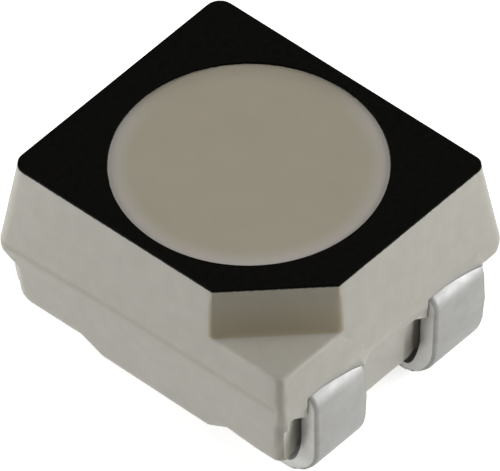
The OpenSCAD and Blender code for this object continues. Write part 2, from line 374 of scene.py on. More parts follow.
def reckon(tree, operation, first, second=0.0):
    """One step of arithmetic on numbers or sockets."""
    node = add_node(tree, "ShaderNodeMath", {"operation": operation})
    for socket, value in zip(node.inputs, (first, second)):
        if isinstance(value, (int, float)):
            socket.default_value = value
        else:
            tree.links.new(value, socket)
    return node.outputs[0]


def product(tree, value, *shares):
    """A number or socket multiplied by others, one after another."""
    for share in shares:
        value = reckon(tree, "MULTIPLY", value, share)
    return value


def gap_between(tree, first, second):
    """How far two numbers or sockets are from each other."""
    return reckon(tree, "ABSOLUTE", reckon(tree, "SUBTRACT", first, second))


def spread(tree, value, low, high, to_low=0.0, to_high=1.0):
    """Maps a value's run from low to high onto another run, with soft ends."""
    settings = {
        "interpolation_type": "SMOOTHSTEP",
        "From Min": low, "From Max": high, "To Min": to_low, "To Max": to_high,
    }
    return add_node(tree, "ShaderNodeMapRange", settings, Value=value).outputs["Result"]


def blended(tree, factor, first, second):
    """Mixes two colours, each a socket or a hex code."""
    node = add_node(tree, "ShaderNodeMix", {"data_type": "RGBA"}, _0=factor)
    for socket, value in ((node.inputs[6], first), (node.inputs[7], second)):
        if isinstance(value, str):
            socket.default_value = linear(value)
        else:
            tree.links.new(value, socket)
    return node.outputs[2]


def mixed_shader(tree, factor, first, second):
    """Mixes two shaders."""
    return add_node(tree, "ShaderNodeMixShader", {}, _0=factor, _1=first, _2=second).outputs[0]


def seen_by(tree, *rays):
    """1 for the camera and for the other named rays, and 0 for the rest."""
    path = add_node(tree, "ShaderNodeLightPath", {}).outputs
    seen = path["Is Camera Ray"]
    for ray in rays:
        seen = reckon(tree, "MAXIMUM", seen, path[ray])
    return seen


def object_place(tree):
    """The place on the object."""
    return add_node(tree, "ShaderNodeTexCoord", {}).outputs["Object"]


def three_parts(tree, place):
    """A place as its three parts."""
    parts = add_node(tree, "ShaderNodeSeparateXYZ", {}, Vector=place).outputs
    return parts["X"], parts["Y"], parts["Z"]


def noise(tree, place, scale, detail=3.0):
    """A noise pattern at a place."""
    settings = {"Scale": scale, "Detail": detail}
    return add_node(tree, "ShaderNodeTexNoise", settings, Vector=place).outputs["Fac"]


def bumped(tree, height, strength, distance, **links):
    """A bumped normal, over another normal when one is linked."""
    settings = {"Strength": strength, "Distance": distance}
    return add_node(tree, "ShaderNodeBump", settings, Height=height, **links).outputs["Normal"]


def worn_edges(tree, radius):
    """A normal that turns softly over every edge."""
    return add_node(tree, "ShaderNodeBevel", {"samples": 6}, Radius=radius).outputs["Normal"]


# The ink's tone where it runs over its edge, and the places along Y of the slots with painted shade
INK_TONE = "141413"
SHADED_SLOTS_Y = (-1.24, 0.36)


def past_ragged_edge(tree, place, value, edge, depth):
    """Where a value is past the ink's edge, which runs a little ragged."""
    ragged = reckon(tree, "ADD", value, reckon(tree, "MULTIPLY", noise(tree, place, 30000.0), depth * MM))
    return spread(tree, ragged, (edge - 0.001) * MM, (edge + 0.004) * MM)


def parting_crease_shade(tree, x, y, z):
    """Where shade is painted along the crease at the mould's parting, on the two sides that have no leads."""
    line_z = spread(tree, x, -1.55 * MM, 0.1 * MM, (PARTING_Z - PARTING_DROOP) * MM, PARTING_Z * MM)
    on_line = spread(tree, gap_between(tree, z, line_z), 0.0, 0.06 * MM, 1.0, 0.0)
    on_side = spread(tree, reckon(tree, "ABSOLUTE", y), 1.37 * MM, 1.41 * MM)
    return product(tree, on_line, on_side, 0.5)


def cut_face_shade(tree, outward, z):
    """Where warm shade is painted on the upright face of the cut corner, less towards its top."""
    cut_line = reckon(
        tree, "SUBTRACT",
        (CUT_TOP_DISTANCE + TOTAL_H * math.tan(CUT_DRAFT)) * MM,
        reckon(tree, "MULTIPLY", z, math.tan(CUT_DRAFT)),
    )
    on_cut = spread(tree, gap_between(tree, outward, cut_line), 0.008 * MM, 0.03 * MM, 1.0, 0.0)
    over_ledge = spread(tree, z, (LEDGE_Z - 0.01) * MM, (LEDGE_Z + 0.01) * MM)
    return product(tree, on_cut, over_ledge, spread(tree, z, LEDGE_Z * MM, TOTAL_H * MM, 1.0, 0.5))


def painted_corner_light(tree, outward, z):
    """Where light is painted on the upright corner under the cut, above and below the lead shelf."""
    below = spread(tree, z, RECESS_Z * MM, 0.9 * MM, 2.03 * MM, 2.145 * MM)
    above = spread(tree, z, PARTING_Z * MM, LEDGE_Z * MM, 2.158 * MM, 2.095 * MM)
    off_corner = reckon(tree, "SUBTRACT", reckon(tree, "MINIMUM", below, above), outward)
    return spread(tree, off_corner, 0.044 * MM, 0.066 * MM, 1.0, 0.0)


def slot_shade(tree, x, y, z):
    """Where shade is painted in the slots beside the leads, in their lower part."""
    off_slots = [gap_between(tree, y, slot_y * MM) for slot_y in SHADED_SLOTS_Y]
    in_slot = spread(tree, reckon(tree, "MINIMUM", *off_slots), 0.06 * MM, 0.11 * MM, 0.75, 0.0)
    low = spread(tree, z, 0.45 * MM, 0.74 * MM, 1.0, 0.0)
    on_wall = spread(tree, reckon(tree, "ABSOLUTE", x), 1.4 * MM, 1.45 * MM)
    return product(tree, in_slot, low, on_wall)


def wear_radius(tree, z):
    """How round the edges are worn: hardly under the ledge, most above it and less again near the print."""
    over_ledge = spread(tree, z, (LEDGE_Z - 0.07) * MM, (LEDGE_Z - 0.02) * MM, 0.004 * MM, 0.11 * MM)
    return product(tree, over_ledge, spread(tree, z, 1.7 * MM, 1.8 * MM, 1.0, 0.2))


def moulded_polyamide():
    """White-filled heat-resistant polyamide, injection moulded: matt, pale grey and slightly translucent.

    The eye sees a faint mottle, tumbled edges, painted shade along the crease at the mould's parting, painted
    warm shade on the cut corner with painted light on the corner under it, painted shade in the slots beside
    the leads and the ink's ragged edge over the rim.
    """
    material, tree, output = new_material("moulded_polyamide")
    place = object_place(tree)
    x, y, z = three_parts(tree, place)
    outward = reckon(tree, "MULTIPLY", reckon(tree, "SUBTRACT", x, y), math.sqrt(0.5))
    grain = noise(tree, place, 26000.0, 4.0)
    colour = ramp(tree, noise(tree, place, 7000.0, 5.0), ((0.3, "B2B0A8"), (0.7, "B8B6AE")))
    for part, tone in (
        # painted shade along the crease at the parting line
        (parting_crease_shade(tree, x, y, z), "A09C92"),
        # painted warm shade on the cut face, strongest near the ledge
        (cut_face_shade(tree, outward, z), "A89F88"),
        # painted light on the upright corner under the cut
        (painted_corner_light(tree, outward, z), "C6C3BB"),
        # painted shade in the slots beside the leads
        (slot_shade(tree, x, y, z), "858072"),
        (past_ragged_edge(tree, place, z, BODY_TOP_Z, 0.016), INK_TONE),
    ):
        colour = blended(tree, part, colour, tone)
    worn = worn_edges(tree, wear_radius(tree, z))
    shader = add_node(
        tree, "ShaderNodeBsdfPrincipled",
        {
            "Roughness": 0.55, "IOR": 1.5,
            "Subsurface Weight": 0.6, "Subsurface Radius": (1.0, 0.95, 0.85), "Subsurface Scale": 0.00008,
        },
        Base_Color=colour, Normal=bumped(tree, grain, 0.25, 0.004 * MM, Normal=worn),
    )
    finish_material(tree, output, shader.outputs["BSDF"])
    return material


def printed_ink():
    """Black pad-printed ink: dead matt and nearly even, with a faint tooth."""
    material, tree, output = new_material("pad_printed_ink")
    grain = noise(tree, object_place(tree), 18000.0, 4.0)
    colour = ramp(tree, grain, ((0.3, "0A0A09"), (0.75, "121210")))
    shader = add_node(
        tree, "ShaderNodeBsdfPrincipled",
        {"Roughness": 0.75, "IOR": 1.45, "Specular IOR Level": 0.02},
        Base_Color=colour, Normal=bumped(tree, grain, 0.3, 0.003 * MM),
    )
    finish_material(tree, output, shader.outputs["BSDF"])
    return material


def diffusing_resin():
    """Cast silicone with a white diffuser in it: smooth and milky.

    Its rim has painted light from the cup's wall, with painted shade at the back, and the ink creeps over it
    a little.
    """
    material, tree, output = new_material("diffusing_silicone")
    place = object_place(tree)
    x, y, _ = three_parts(tree, place)
    squares = [reckon(tree, "POWER", part, 2.0) for part in (x, y)]
    out = reckon(tree, "SQRT", reckon(tree, "ADD", *squares))
    backward = reckon(tree, "ADD", reckon(tree, "MULTIPLY", x, -0.667), reckon(tree, "MULTIPLY", y, 0.745))
    painted_rim_light = blended(tree, spread(tree, backward, 0.4 * MM, 1.05 * MM), "C6C2BC", "A8A293")
    colour = ramp(tree, noise(tree, place, 4000.0, 3.0), ((0.3, "B4AE9E"), (0.7, "B7B1A1")))
    colour = blended(tree, spread(tree, out, 0.98 * MM, 1.19 * MM), colour, painted_rim_light)
    colour = blended(tree, past_ragged_edge(tree, place, out, WINDOW_R, 0.014), colour, INK_TONE)
    shader = add_node(
        tree, "ShaderNodeBsdfPrincipled",
        {
            "Roughness": 0.45, "IOR": 1.41,
            "Subsurface Weight": 0.6, "Subsurface Radius": (1.0, 0.9, 0.75), "Subsurface Scale": 0.00012,
        },
        Base_Color=colour,
    )
    finish_material(tree, output, shader.outputs["BSDF"])
    return material


def matt_tin(name, dark, light, metallic=0.42, rough=0.44):
    """Matt tin plating on copper strip: a soft pale metal, finely mottled by its crystals."""
    material, tree, output = new_material(name)
    place = object_place(tree)
    mottle = noise(tree, place, 14000.0, 4.0)
    patches = reckon(tree, "MULTIPLY", reckon(tree, "ADD", mottle, noise(tree, place, 5000.0, 2.0)), 0.5)
    colour = ramp(tree, patches, ((0.38, dark), (0.62, light)))
    shader = add_node(
        tree, "ShaderNodeBsdfPrincipled",
        {"Metallic": metallic},
        Base_Color=colour, Roughness=spread(tree, mottle, 0.3, 0.7, rough, rough + 0.12),
        Normal=bumped(tree, mottle, 0.35, 0.004 * MM),
    )
    finish_material(tree, output, shader.outputs["BSDF"])
    return material


def chip_crystal(name, node, crystal, layer):
    """A sawn crystal chip: a dull speckled body with the brighter light-emitting layer along its top."""
    material, tree, output = new_material(name)
    place = object_place(tree)
    z = three_parts(tree, place)[2]
    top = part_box(node)[1][2]
    body = ramp(tree, noise(tree, place, 60000.0, 3.0), ((0.35, crystal[0]), (0.65, crystal[1])))
    colour = blended(tree, spread(tree, z, top - 0.012 * MM, top - 0.008 * MM), body, layer)
    shader = add_node(
        tree, "ShaderNodeBsdfPrincipled",
        {"Roughness": 0.25, "IOR": 2.4, "Metallic": 0.2},
        Base_Color=colour,
    )
    finish_material(tree, output, shader.outputs["BSDF"])
    return material


def silver_epoxy():
    """Silver-filled epoxy under a chip: grey, with bright flakes in it."""
    material, tree, output = new_material("silver_filled_epoxy")
    flakes = noise(tree, object_place(tree), 90000.0, 5.0)
    colour = ramp(tree, flakes, ((0.4, "8E8D89"), (0.65, "C4C4C0")))
    shader = add_node(
        tree, "ShaderNodeBsdfPrincipled",
        {"Metallic": 0.6},
        Base_Color=colour, Roughness=spread(tree, flakes, 0.3, 0.7, 0.6, 0.35),
        Normal=bumped(tree, flakes, 0.6, 0.004 * MM),
    )
    finish_material(tree, output, shader.outputs["BSDF"])
    return material


def drawn_gold():
    """Fine drawn gold wire: bright and warm, with a faint change of colour along it."""
    material, tree, output = new_material("drawn_gold_wire")
    draw_marks = noise(tree, object_place(tree), 40000.0, 2.0)
    colour = ramp(tree, draw_marks, ((0.35, "D9A948"), (0.65, "E8BE66")))
    shader = add_node(
        tree, "ShaderNodeBsdfPrincipled",
        {"Metallic": 1.0},
        Base_Color=colour, Roughness=spread(tree, draw_marks, 0.3, 0.7, 0.18, 0.28),
    )
    finish_material(tree, output, shader.outputs["BSDF"])
    return material


def dress(nodes, material):
    """Gives nodes that stay as the CAD has them their real finish."""
    for node in nodes:
        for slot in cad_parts[node].material_slots:
            slot.material = material


polyamide = moulded_polyamide()
ink = printed_ink()
resin = diffusing_resin()
tin = matt_tin("matt_tin_plating", "9E9E9D", "A9A9A8")
# The rolled edges get a slightly darker tin as painted shade
shaded_rolled_tin = matt_tin("rolled_edge_tin_painted_shade", "969694", "A4A4A1")
# The sheared sides are burnished, and their lighter tin is also painted light where the housing shades them
burnished_lit_tin = matt_tin("burnished_tin_painted_light", "BCBCB9", "C8C8C5", 0.65, 0.42)

dress(["red_chip"], chip_crystal("red_chip_crystal", "red_chip", ("4A2622", "5C302A"), "8C3A30"))
dress(["green_chip"], chip_crystal("green_chip_crystal", "green_chip", ("5E7468", "6C8476"), "4E9670"))
dress(["blue_chip"], chip_crystal("blue_chip_crystal", "blue_chip", ("586C84", "667C96"), "4670A8"))
dress(["red_chip_glue", "green_chip_glue", "blue_chip_glue"], silver_epoxy())
dress(
    ["red_wire", "green_anode_wire", "green_cathode_wire", "blue_anode_wire", "blue_cathode_wire"],
    drawn_gold(),
)


# The moulding

# Height changes of the underside against the recesses' height, between two places along X
UNDERSIDE = (
    (-2.0, -0.73, 0.0095),
    (-0.52, -0.50, -0.1127),
    (0.66, 0.68, -0.1328),
    (0.89, 0.91, 0.003),
    (1.20, 2.0, -0.034),
)

# Where the underside folds, along X
UNDERSIDE_FOLDS = (-0.74, -0.51, 0.67, 0.90, 1.21)

# Shares of the parting line's droop, between two places along X
DROOP_SHARES = (
    (-2.0, -1.3, 1.0),
    (-0.75, -0.73, 0.5),
    (-0.52, -0.50, 0.37),
    (1.3, 2.0, 1.0),
)


def moulded_block():
    """The plain body: round bottom edges, lead shelf, parting line and the upper walls."""
    levels = (
        (RECESS_Z, LOWER_FOOT_HALF_L, None),
        (SHELF_ROOT_Z, LOWER_HALF_L, None),
        (SHELF_BAND_Z, PARTING_HALF_L, SHELF_CORNER_R),
        (PARTING_Z, PARTING_HALF_L, UPPER_CORNER_R),
        (BODY_TOP_Z, TOP_HALF_L, UPPER_CORNER_R),
    )
    z, half_l, _ = levels[0]
    half_w = wall_half_w(z)
    body = round_plate("housing_body", half_l, half_w, LOWER_CORNER_R, z)
    for next_z, next_half_l, _ in levels[1:]:
        next_half_w = wall_half_w(next_z)
        pull(0, 0, next_z - z)
        stretch(next_half_l / half_l, next_half_w / half_w)
        z, half_l, half_w = next_z, next_half_l, next_half_w
    for level_z, level_half_l, radii in levels[2:]:
        set_corners(body, level_z, level_half_l, wall_half_w(level_z), radii)
    close_up(body)
    soften(body, level_at(RECESS_Z), BOTTOM_EDGE_R, 6)
    tighten_front_corner(body)
    crease_parting(body)
    fold_underside(body)
    droop_parting(body)
    square_lead_side_edges(body)
    close_up(body)
    in_triangles(body)
    return body


def wall_half_w(z):
    """Half the body's width at a height: both walls lean in from the parting line."""
    if z > PARTING_Z:
        return TOP_HALF_W + (TOTAL_H - z) * math.tan(UPPER_DRAFT)
    return PARTING_HALF_W - (PARTING_Z - z) * math.tan(SIDE_DRAFT)


def set_corners(body, z, half_l, half_w, radii):
    """Gives the corners of one level of the body their own radii."""
    for (side_x, side_y), corner_r in radii.items():
        share = corner_r / LOWER_CORNER_R
        corner = Vector((side_x * half_l, side_y * half_w, z))
        pick(body, "VERT", round_corner(corner, LOWER_CORNER_R * 1.1))
        stretch(share, share, 1, about=corner)


def rings_up_to(body, top_z):
    """The places of a piece's points up to a height, as one list for each level."""
    bpy.ops.object.mode_set(mode="OBJECT")
    rings = []
    for place in sorted((point.co.copy() for point in body.data.vertices), key=lambda place: place.z):
        if place.z > top_z:
            break
        if rings and place.z - rings[-1][0].z < NEAR:
            rings[-1].append(place)
        else:
            rings.append([place])
    return rings


def tighten_front_corner(body):
    """Makes the lower wall's corner under the cut sharp and brings it out, more towards the shelf.

    The post that this makes ends at a leaning line on the wall with the leads.
    """
    corners = []
    for ring in rings_up_to(body, SHELF_ROOT_Z + NEAR):
        half_l = max(place.x for place in ring)
        half_w = max(place.y for place in ring)
        set_corners(body, ring[0].z, half_l, half_w, {(1, -1): FRONT_LOWER_R})
        corners.append(Vector((half_l, -half_w, ring[0].z)))
    slice_at(body, corners[-1] + Vector((0, FRONT_POST_REACH, 0)), (0, 1, FRONT_POST_LEAN))
    for corner in corners:
        share = FRONT_POST_FOOT + (1 - FRONT_POST_FOOT) * corner.z / SHELF_ROOT_Z
        pick(body, "VERT", round_corner(corner, FRONT_LOWER_R + NEAR))
        slide(FRONT_POST_OUT * share, 0, 0)


def crease_parting(body):
    """A shallow crease along the mould's parting line, on the two sides that have no leads."""
    for z in (PARTING_Z - CREASE_HALF_H, PARTING_Z + CREASE_HALF_H):
        slice_at(body, (0, 0, z), (0, 0, 1))
    for side in (1, -1):
        pick(
            body, "VERT",
            lambda point: abs(point.co.z - PARTING_Z) < NEAR and point.co.y * side > PARTING_HALF_W - 0.01,
        )
        slide(0, -side * CREASE_DEPTH, 0)


def square_lead_side_edges(body):
    """Makes the bottom edge less round between the leads."""
    for y in (-LEAD_SIDE_FADE_Y, -LEAD_SIDE_FLAT_Y, LEAD_SIDE_FLAT_Y, LEAD_SIDE_FADE_Y):
        slice_at(body, (0, y, 0), (0, 1, 0))
    share = LEAD_SIDE_EDGE_R / BOTTOM_EDGE_R
    for side, change in ((1, UNDERSIDE[-1][2]), (-1, UNDERSIDE[0][2])):
        edge_top = RECESS_Z + BOTTOM_EDGE_R + change + NEAR
        pick(
            body, "VERT",
            lambda point: abs(point.co.y) < LEAD_SIDE_FLAT_Y + NEAR and point.co.z < edge_top
            and point.co.x * side > LOWER_FOOT_HALF_L - BOTTOM_EDGE_R - NEAR,
        )
        stretch(share, 1, share, about=(side * LOWER_FOOT_HALF_L, 0, RECESS_Z + change))
        slide(-side * LEAD_SIDE_IN, 0, 0)
    bpy.ops.object.mode_set(mode="OBJECT")


def fold_underside(body):
    """Drops the middle of the underside between two slopes and sets the heights of its ends."""
    bottom_top = RECESS_Z + BOTTOM_EDGE_R + NEAR
    for x in UNDERSIDE_FOLDS:
        slice_at(body, (x, 0, 0), (1, 0, 0))
    for low_x, high_x, change in UNDERSIDE:
        pick(body, "VERT", lambda point: point.co.z < bottom_top and low_x < point.co.x < high_x)
        slide(0, 0, change)
        stretch(1, 1 + change * math.tan(SIDE_DRAFT) / PARTING_HALF_W)
    bpy.ops.object.mode_set(mode="OBJECT")


def under_cut(point):
    """A test for the points of the upright corner under the cut."""
    return point.co.x > 1.3 and point.co.y < -1.2


def droop_parting(body):
    """Lets the parting line run lower along the lead sides and towards the back corners."""
    for low_x, high_x, drop in DROOP_SHARES:
        out = drop * PARTING_DROOP * math.tan(UPPER_DRAFT)
        pick(
            body, "VERT",
            lambda point: abs(point.co.z - PARTING_Z) < CREASE_HALF_H + NEAR and low_x < point.co.x < high_x
            and not under_cut(point),
        )
        slide(0, 0, -drop * PARTING_DROOP)
        stretch(1 + out / PARTING_HALF_L, 1 + out / PARTING_HALF_W)
    bpy.ops.object.mode_set(mode="OBJECT")


def corner_cutter():
    """The solid that cuts the polarity mark: a drafted face at 45 degrees that ends on a flat ledge."""
    above = 0.2
    middle_x = 2
    cutter = block("corner_cutter", (LEDGE_DISTANCE, -1.5, LEDGE_Z), (3, 1.5, TOTAL_H + above))
    pick(cutter, "VERT", lambda point: point.co.x < middle_x and point.co.z > TOTAL_H)
    slide(-(CUT_DEPTH + above) * math.tan(CUT_DRAFT), 0, 0)
    soften(cutter, lambda edge: middle(edge).x < middle_x and level_at(LEDGE_Z)(edge), LEDGE_ROOT_R, 4)
    pick(cutter, "VERT", lambda point: True)
    bpy.ops.transform.rotate(value=math.radians(45), orient_axis="Z", center_override=(0, 0, 0))
    bpy.ops.object.mode_set(mode="OBJECT")
    return cutter


def soften_cut(body):
    """Takes the sharpness off the ledge's rim and the upright sides of the cut."""

    def on_rim(edge):
        if len(edge.link_faces) != 2 or not edge.is_convex or edge.calc_face_angle() < RIM_ANGLE:
            return False
        for point in edge.verts:
            distance = (point.co.x - point.co.y) / math.sqrt(2)
            wall = CUT_TOP_DISTANCE + (TOTAL_H - point.co.z) * math.tan(CUT_DRAFT)
            on_ledge = abs(point.co.z - LEDGE_Z) < NEAR and distance > wall - NEAR
            on_cut = abs(distance - wall) < 0.012 and LEDGE_Z - NEAR < point.co.z
            if not (on_ledge or on_cut):
                return False
        return middle(edge).z < BODY_TOP_Z - NEAR

    soften(body, on_rim, LEDGE_EDGE_R, 4)


def lead_lip(side_x, side_y):
    """The lip of plastic that laps over a lead's bend, further at one end, where it fades out."""
    middle_y = side_y * LEAD_Y
    end_y = middle_y + LEAD_W / 2
    lip = block(
        "lip",
        (LIP_X, middle_y - LEAD_W / 2 - LIP_SIDE, LIP_LOW_Z),
        (LIP_OUT_X, end_y, PARTING_Z),
    )
    outer_x = LIP_X + NEAR
    pick(lip, "VERT", lambda point: point.co.x > outer_x and point.co.y > middle_y)
    slide(0, 0, LIP_RISE)
    pick(lip, "VERT", lambda point: point.co.x > outer_x and point.co.y > middle_y and point.co.z < LIP_MID_Z)
    slide(LIP_LAP, 0, -LIP_HANG)
    pick(lip, "FACE", lambda face: face.normal.y > 0.9)
    pull(0, LIP_FADE[side_y], 0)
    fade_y = end_y + NEAR
    pick(lip, "VERT", lambda point: point.co.x > outer_x and point.co.y > fade_y)
    slide(-LIP_NARROW, 0, 0)
    pick(lip, "VERT", lambda point: point.co.x > outer_x and point.co.y > fade_y and point.co.z < LIP_MID_Z)
    slide(-LIP_LAP, 0, LIP_HANG)
    in_triangles(lip)
    return mirrored(lip, side_x, 1)


def lead_web(side_x, side_y):
    """The web of plastic under the shelf that stands beside a lead and ends its slot."""
    high_y = side_y * LEAD_Y - LEAD_W / 2 - POCKET_GAP
    low_y = high_y - WEB_W
    web = block("web", (WEB_X, low_y, WEB_LOW_Z), (WEB_OUT_X, high_y, WEB_TOP_Z))
    pick(web, "VERT", lambda point: point.co.z < WEB_LOW_Z + NEAR and point.co.y < low_y + NEAR)
    slide(0, 0, WEB_RISE)
    bpy.ops.object.mode_set(mode="OBJECT")
    return mirrored(web, side_x, 1)


def lead_recess(side_x, side_y):
    """The slot in the lower wall behind a lead, with a gentle slope beside the lead that leads into it.

    Towards its foot the slot is deeper and a little wider, and its inner corner on the slope's side is round.
    """
    half = LEAD_W / 2 + RECESS_GAP
    low_y = side_y * LEAD_Y - half
    recess = block("recess", (RECESS_X, low_y, 0), (RECESS_OUT_X, side_y * LEAD_Y + half, RECESS_TOP_Z))
    pick(recess, "VERT", lambda point: point.co.z < NEAR)
    slide(-RECESS_TILT, 0, 0)
    pick(recess, "VERT", lambda point: point.co.z < NEAR and point.co.y < low_y + NEAR)
    slide(0, -RECESS_LEAN, 0)
    pick(recess, "VERT", lambda point: point.co.x > RECESS_OUT_X - 0.1 and point.co.y < low_y + NEAR)
    slide(0, -(RECESS_OUT_X - RECESS_X) * RECESS_RAMP, 0)
    soften(recess, lambda edge: middle(edge).x < RECESS_X + NEAR and middle(edge).y < low_y, RECESS_ROUND, 4)
    return mirrored(recess, side_x, 1)


def lead_pocket(side_x, side_y):
    """The room for a lead's upper bend: the moulding lies on the outside of the bend."""
    half = LEAD_W / 2 + POCKET_GAP
    near, far = UPPER_BEND_X, LEAD_OUT
    pocket = block(
        "pocket",
        (min(side_x * near, side_x * far), side_y * LEAD_Y - half, POCKET_Z),
        (max(side_x * near, side_x * far), side_y * LEAD_Y + half, PARTING_Z),
    )
    soften(
        pocket,
        lambda edge: level_at(PARTING_Z)(edge) and abs(middle(edge).x - side_x * LEAD_OUT) < NEAR,
        UPPER_BEND_R - NEAR, 12,
    )
    return pocket


def housing():
    """The whole moulding, with its cup, cut corner, lead pockets and gate mark."""
    body = moulded_block()
    cup_h = BODY_TOP_Z - PARTING_Z
    slope = (WINDOW_R - CUP_FLOOR_R) / cup_h
    extra = 0.1
    bpy.ops.mesh.primitive_cone_add(
        vertices=CUP_STEPS, radius1=CUP_FLOOR_R, radius2=WINDOW_R + extra * slope, depth=cup_h + extra,
        location=(0, 0, PARTING_Z + (cup_h + extra) / 2),
    )
    combine(body, bpy.context.object, "DIFFERENCE")
    combine(body, corner_cutter(), "DIFFERENCE")
    soften_cut(body)
    for side_x in (1, -1):
        for side_y in (1, -1):
            combine(body, lead_lip(side_x, side_y), "UNION")
            combine(body, lead_pocket(side_x, side_y), "DIFFERENCE")
            combine(body, lead_web(side_x, side_y), "UNION")
            combine(body, lead_recess(side_x, side_y), "DIFFERENCE")
    gate_tool_h = 0.2
    bpy.ops.mesh.primitive_cylinder_add(
        vertices=48, radius=GATE_R, depth=gate_tool_h,
        location=(0, 0, BELLY_Z + GATE_DEPTH - gate_tool_h / 2),
    )
    combine(body, bpy.context.object, "DIFFERENCE")
    return body


# The wide angle lets the moulding's worn corners shade softly
moulding = housing()
moulding.name = "housing_moulding"
hand_over(moulding, "housing", polyamide, smooth_angle=42)


# The printed face

def face_print():
    """The ink film with its window and its cut corner."""
    film = round_plate("face_print", TOP_HALF_L, TOP_HALF_W, LOWER_CORNER_R, BODY_TOP_Z)
    set_corners(film, BODY_TOP_Z, TOP_HALF_L, TOP_HALF_W, UPPER_CORNER_R)
    pick(film, "FACE", lambda face: True)
    pull(0, 0, PRINT_T)
    bpy.ops.object.mode_set(mode="OBJECT")
    close_up(film)
    bpy.ops.mesh.primitive_cylinder_add(
        vertices=CUP_STEPS, radius=WINDOW_R, depth=0.2, location=(0, 0, BODY_TOP_Z),
    )
    combine(film, bpy.context.object, "DIFFERENCE")
    combine(film, corner_cutter(), "DIFFERENCE")
    return film


hand_over(face_print(), "black_face_print", ink)


# The resin

def resin_fill():
    """The cup's fill, with a surface that dishes towards the middle."""
    cup_h = BODY_TOP_Z - PARTING_Z
    bpy.ops.mesh.primitive_cone_add(
        vertices=CUP_STEPS, radius1=CUP_FLOOR_R, radius2=WINDOW_R, depth=cup_h,
        location=(0, 0, PARTING_Z + cup_h / 2),
    )
    fill = bpy.context.object
    fill.name = "resin_fill"
    bpy.ops.object.transform_apply(location=True)
    pick(fill, "FACE", faces_up(BODY_TOP_Z))
    share = 1.0
    for next_share in DISH_RINGS:
        bpy.ops.mesh.inset(thickness=WINDOW_R * (share - next_share), depth=0)
        slide(0, 0, -RESIN_DISH * (share * share - next_share * next_share))
        share = next_share
    bpy.ops.object.mode_set(mode="OBJECT")
    return fill


hand_over(resin_fill(), "encapsulant", resin)


# The leads

# Shares of a lead's swollen edge, each between two heights
SWELL_SHARES = (
    (0.2, UPPER_BEND_Z + NEAR, 0.25),
    (0.3, UPPER_BEND_Z - NEAR, 0.25),
    (SWELL_Z - 0.01, SWELL_Z + 0.01, 0.5),
)

# Shares of the sheared edge's slant that the foot doesn't have, each below one height
FOOT_EDGE_SHARES = ((0.02, 0.6), (0.08, 0.4), (0.2, 0.3))

# Shares by which the red lead leans sideways, each below one height
RED_LEAN_SHARES = (
    (UPPER_BEND_Z + NEAR, 0.2),
    (SWELL_Z + NEAR, 0.4),
    (0.42, 0.3),
    (0.3, 0.1),
)


def bend(centre):
    """Spins the picked end of the strip a quarter turn about a line along Y."""
    bpy.ops.mesh.spin(steps=12, angle=math.radians(90), center=centre, axis=(0, 1, 0))


def outer_edge(edge):
    """A test for the long edges round the outside of a lead's bends and under its foot."""
    if len(edge.link_faces) != 2 or edge.calc_face_angle() < STRIP_ANGLE:
        return False
    if abs(middle(edge).y - LEAD_Y) < LEAD_W / 2 - SHEAR_TAPER - NEAR:
        return False
    return any(
        abs(face.normal.y) < 0.1 and (face.normal.x > 0.01 or face.normal.z < -0.99 and middle(face).z < 0.01)
        for face in edge.link_faces
    )


def lower_bend_radius(point):
    """How far a point is from the axis of the lower bend."""
    return math.hypot(point.co.x - LOWER_BEND_X, point.co.z - LOWER_BEND_R)


def draw_out_lower_bend(strip, bend_h):
    """Gives the lower bend its height and a full heel, and thins the foot, as the forming tool does."""
    inner_r = LOWER_BEND_R - LEAD_T
    share = (HEEL_H - FOOT_T) / inner_r
    still_z = (FOOT_T - LEAD_T * share) / (1 - share)

    def on_inside(point):
        return point.co.z < LOWER_BEND_R + NEAR and lower_bend_radius(point) < LOWER_BEND_R - LEAD_T / 2

    def on_inside_or_foot(point):
        return on_inside(point) or point.co.x < FOOT_TIP + NEAR and point.co.z > LEAD_T / 2

    pick(strip, "VERT", on_inside)
    stretch(HEEL_REACH / inner_r, 1, 1, about=(LOWER_BEND_X + inner_r, 0, 0))
    slide(-BACK_SET, 0, 0)
    pick(strip, "VERT", on_inside_or_foot)
    stretch(1, 1, share, about=(0, 0, still_z))
    pick(
        strip, "VERT",
        lambda point: point.co.z < LOWER_BEND_R + NEAR and point.co.x > LOWER_BEND_X - NEAR
        and lower_bend_radius(point) > LOWER_BEND_R - LEAD_T / 2,
    )
    stretch(1, 1, bend_h / LOWER_BEND_R)
    bpy.ops.object.mode_set(mode="OBJECT")


def bent_strip(bend_h=LOWER_BEND_R, sheared_side=-1):
    """The outside part of a lead, from its foot's tip to where it enters the moulding, at +X, +Y."""
    bpy.ops.mesh.primitive_plane_add(size=1, enter_editmode=True, rotation=(0, math.radians(90), 0))
    strip = bpy.context.object
    strip.name = "lead_strip"
    bpy.ops.object.mode_set(mode="OBJECT")
    bpy.ops.object.transform_apply(location=False, rotation=True, scale=False)
    pick(strip, "FACE", lambda face: True)
    stretch(1, LEAD_W, LEAD_T)
    slide(FOOT_TIP, LEAD_Y, LEAD_T / 2)
    pick(strip, "VERT", lambda point: point.co.z < NEAR and (point.co.y - LEAD_Y) * sheared_side > 0)
    slide(0, -sheared_side * SHEAR_TAPER, 0)
    pick(strip, "FACE", lambda face: True)
    pull(LOWER_BEND_X - FOOT_TIP, 0, 0)
    bend((LOWER_BEND_X, LEAD_Y, LOWER_BEND_R))
    pull(0, 0, UPPER_BEND_Z - LOWER_BEND_R)
    bend((UPPER_BEND_X, LEAD_Y, UPPER_BEND_Z))
    pull(PAD_ROOT_X - UPPER_BEND_X, 0, 0)
    bpy.ops.object.mode_set(mode="OBJECT")
    close_up(strip)
    soften(strip, outer_edge, ROLLOVER, 3)
    draw_out_lower_bend(strip, bend_h)
    fit_edges(strip, sheared_side)
    return strip


